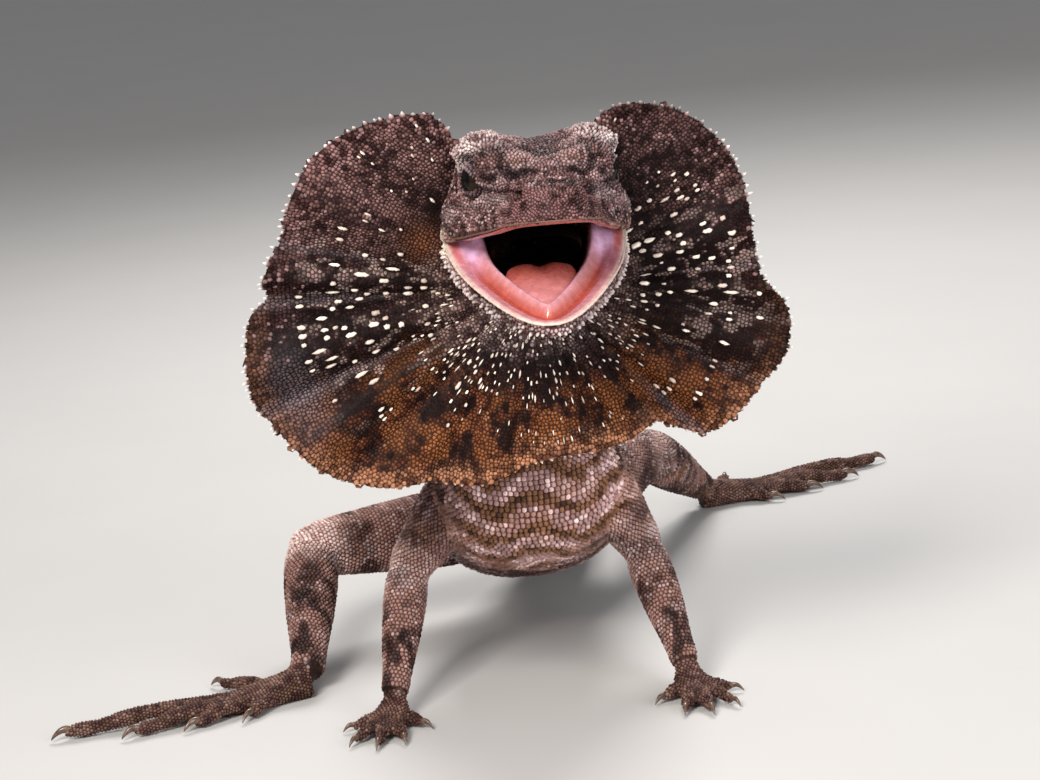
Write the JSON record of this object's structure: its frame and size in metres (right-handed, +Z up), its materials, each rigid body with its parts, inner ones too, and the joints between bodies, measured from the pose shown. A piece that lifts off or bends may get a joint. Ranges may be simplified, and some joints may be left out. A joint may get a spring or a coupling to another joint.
{
  "type": "frilled lizard model",
  "caption": "Life-size still model of a frilled lizard in threat display, front raised, mouth wide open and pleated neck frill spread with a spiny rim, long tail trailing behind.",
  "frame": {"origin": "on the floor, under the middle of the box that holds the whole animal", "axes": "+Z up, the animal faces -Y, its tail lies toward +Y, its left side is +X"},
  "size_m": [0.2028, 0.4674, 0.1343],
  "materials": {
    "skin": "matte scaled skin, grey-brown with dark and pale scales",
    "frill": "matte scaled membrane, dark brown and orange-brown with cream flecks",
    "mouth": "wet, glossy pink lining",
    "eye": "wet, glossy dark eye",
    "claw": "smooth horn, brown"
  },
  "bodies": {
    "root": {"head": "skin", "lower_jaw": "skin", "tongue": "mouth", "eye_left": "eye", "eye_right": "eye", "frill_left": "frill", "frill_right": "frill", "frill_throat": "frill", "neck": "skin", "chest": "skin", "belly": "skin", "pelvis": "skin", "tail_base": "skin", "tail_middle": "skin", "tail_end": "skin", "left_upper_arm": "skin", "left_forearm": "skin", "left_hand": "skin", "right_upper_arm": "skin", "right_forearm": "skin", "right_hand": "skin", "left_thigh": "skin", "left_shin": "skin", "left_foot": "skin", "right_thigh": "skin", "right_shin": "skin", "right_foot": "skin"}
  },
  "joints": []
}
